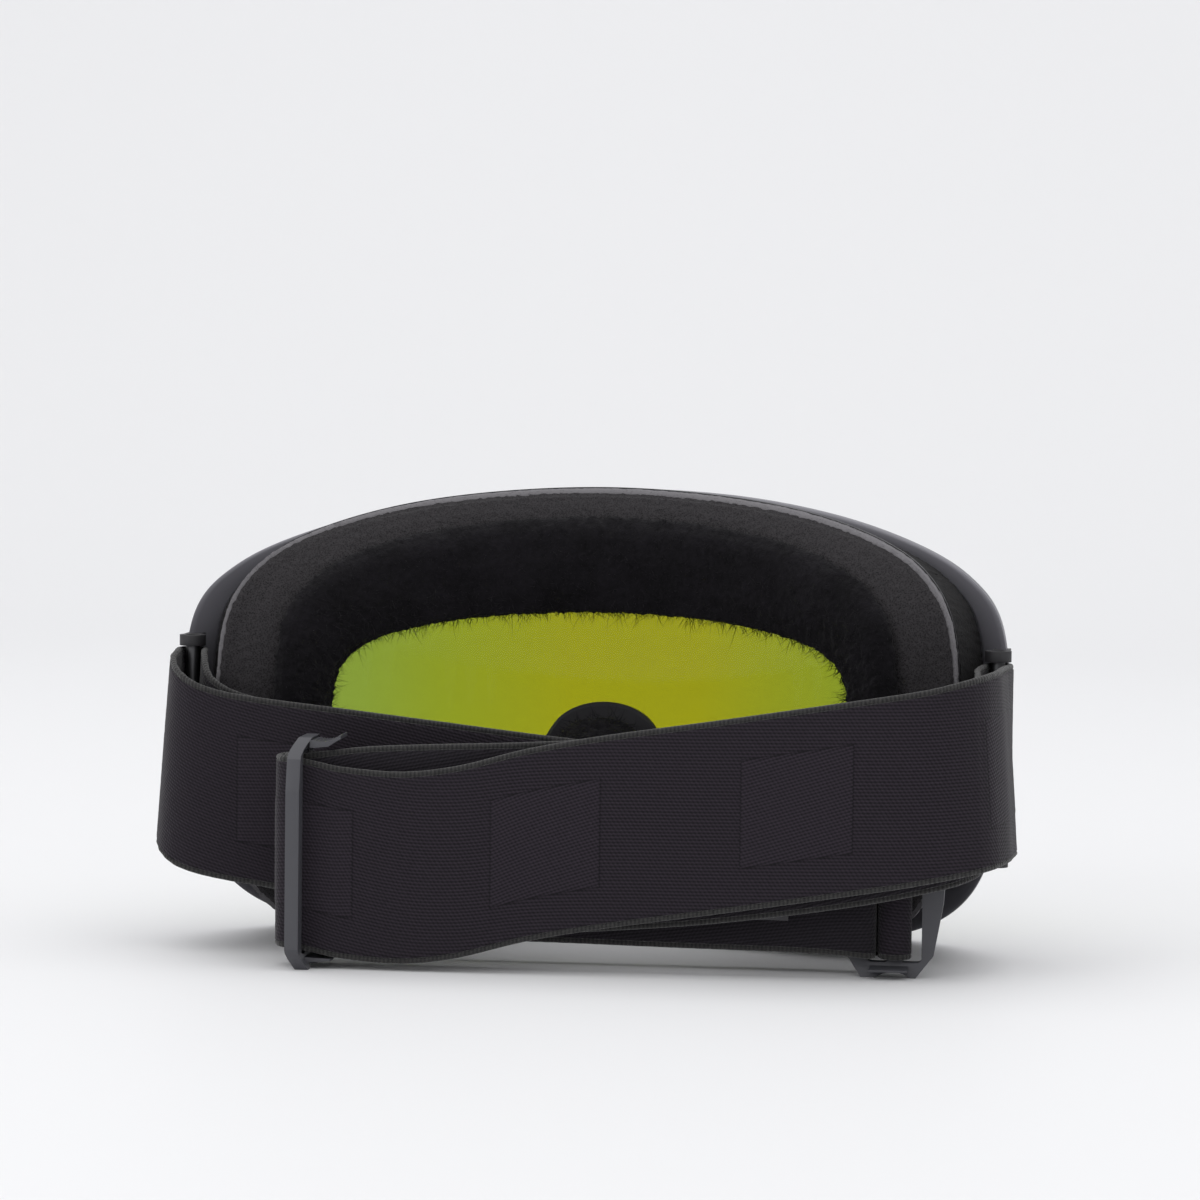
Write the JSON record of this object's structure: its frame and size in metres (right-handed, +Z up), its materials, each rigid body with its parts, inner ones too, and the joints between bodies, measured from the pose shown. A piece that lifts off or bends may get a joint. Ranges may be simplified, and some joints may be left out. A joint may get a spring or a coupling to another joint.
{
  "type": "ski goggles",
  "caption": "Snow goggles: wide curved lens in a vented frame, layered face foam, strap bars held in lugs and an elastic webbing strap with slide adjusters, folded behind.",
  "frame": {"origin": "on the ground under the middle of the whole object's outline, strap included", "axes": "+Z up, +Y out through the front of the lens, +X to the right seen from behind (the wearer's side)"},
  "size_m": [0.182, 0.0992, 0.0975],
  "materials": {
    "rim": "satin charcoal moulding",
    "lens_outer": "amber tinted, mirror coated",
    "lens_inner": "clear, lightly tinted",
    "seal": "matt closed cell foam",
    "frame": "matt flexible moulding",
    "vent_foam": "open cell foam",
    "grey_foam": "open cell foam",
    "speckled_foam": "open cell foam, speckled",
    "fleece": "brushed fleece",
    "bar": "drawn wire",
    "webbing": "twill elastic webbing",
    "slider": "satin",
    "silicone": "printed silicone"
  },
  "bodies": {
    "goggles": {"lens_rim": "rim", "lens_outer": "lens_outer", "lens_inner": "lens_inner", "lens_seal": "seal", "face_frame": "frame", "vent_foam_top": "vent_foam", "vent_foam_side_left": "vent_foam", "vent_foam_side_right": "vent_foam", "vent_foam_cheek_left": "vent_foam", "vent_foam_cheek_right": "vent_foam", "foam_base_grey": "grey_foam", "foam_middle_speckled": "speckled_foam", "face_fleece": "fleece", "strap_webbing": "webbing", "grip_line_1": "silicone", "grip_line_2": "silicone", "grip_line_3": "silicone"},
    "adjuster_left": {"slider_left": "slider"},
    "adjuster_right": {"slider_right": "slider"},
    "bar_left": {"strap_bar_left": "bar"},
    "bar_right": {"strap_bar_right": "bar"}
  },
  "joints": [
    {"name": "bar_left_turn", "type": "hinge", "parent": "goggles", "child": "bar_left", "pos_m": [-0.08568, -0.0056, 0.0429], "axis": [0, 0, 1], "range_deg": [-180, 180]},
    {"name": "bar_right_turn", "type": "hinge", "parent": "goggles", "child": "bar_right", "pos_m": [0.08592, -0.0056, 0.0429], "axis": [0, 0, 1], "range_deg": [-180, 180]},
    {"name": "adjuster_left_slide", "type": "slide", "parent": "goggles", "child": "adjuster_left", "axis": [1, 0, 0], "range_m": [0, 0.02], "deforming": ["strap_webbing"]},
    {"name": "adjuster_right_slide", "type": "slide", "parent": "goggles", "child": "adjuster_right", "axis": [-1, 0, 0], "range_m": [0, 0.02], "deforming": ["strap_webbing"]}
  ]
}
